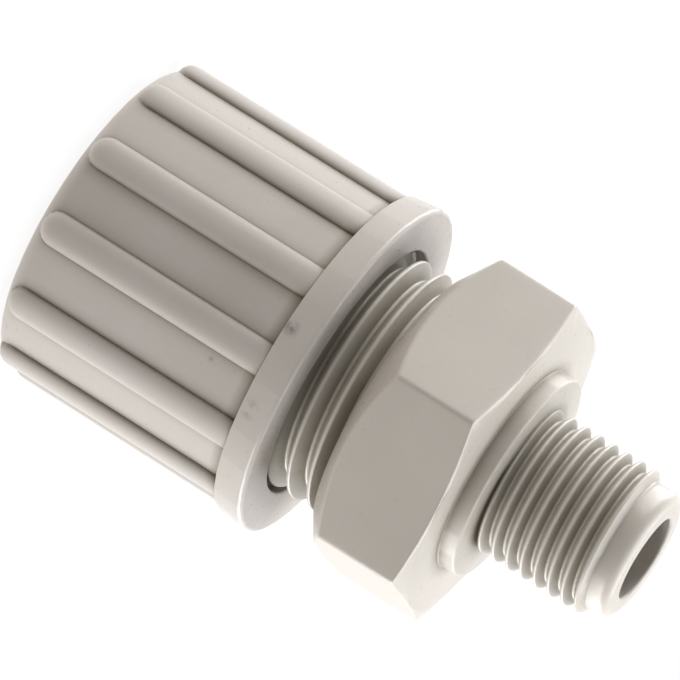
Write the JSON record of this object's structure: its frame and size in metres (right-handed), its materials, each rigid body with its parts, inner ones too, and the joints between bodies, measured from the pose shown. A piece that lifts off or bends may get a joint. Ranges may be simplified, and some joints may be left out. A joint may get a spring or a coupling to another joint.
{
  "type": "plastic compression fitting",
  "caption": "Straight plastic compression fitting: ribbed union nut for a plain tube, hexagon body and male pipe thread, with grip ring, thrust ring and seal inside.",
  "frame": {"origin": "centre of the nut's tube-end face, on which the fitting stands", "axes": "+Z along the tube axis, from the tube hole of the nut towards the end of the pipe thread; +X through a corner of the hexagon"},
  "size_m": [0.0312, 0.0306, 0.0543],
  "materials": {
    "body_plastic": "satin moulded",
    "nut_plastic": "satin moulded",
    "ring_plastic": "satin moulded",
    "seal_rubber": "matte"
  },
  "bodies": {
    "body": {"fitting_body": "body_plastic", "o_ring": "seal_rubber"},
    "clamp_rings": {"press_ring": "ring_plastic", "grip_ring": "ring_plastic"},
    "nut": {"union_nut": "nut_plastic"}
  },
  "joints": [
    {"name": "ring_travel", "type": "slide", "parent": "body", "child": "clamp_rings", "axis": [0, 0, 1], "range_m": [-0.00801, 0.00201]},
    {"name": "nut_turn", "type": "hinge", "parent": "clamp_rings", "child": "nut", "pos_m": [0, 0, 0.013], "axis": [0, 0, 1], "range_deg": [-1440, 360]}
  ],
  "couplings": [
    {"joint": "ring_travel", "follows": "nut_turn", "m_per_rad": 0.00031831}
  ]
}
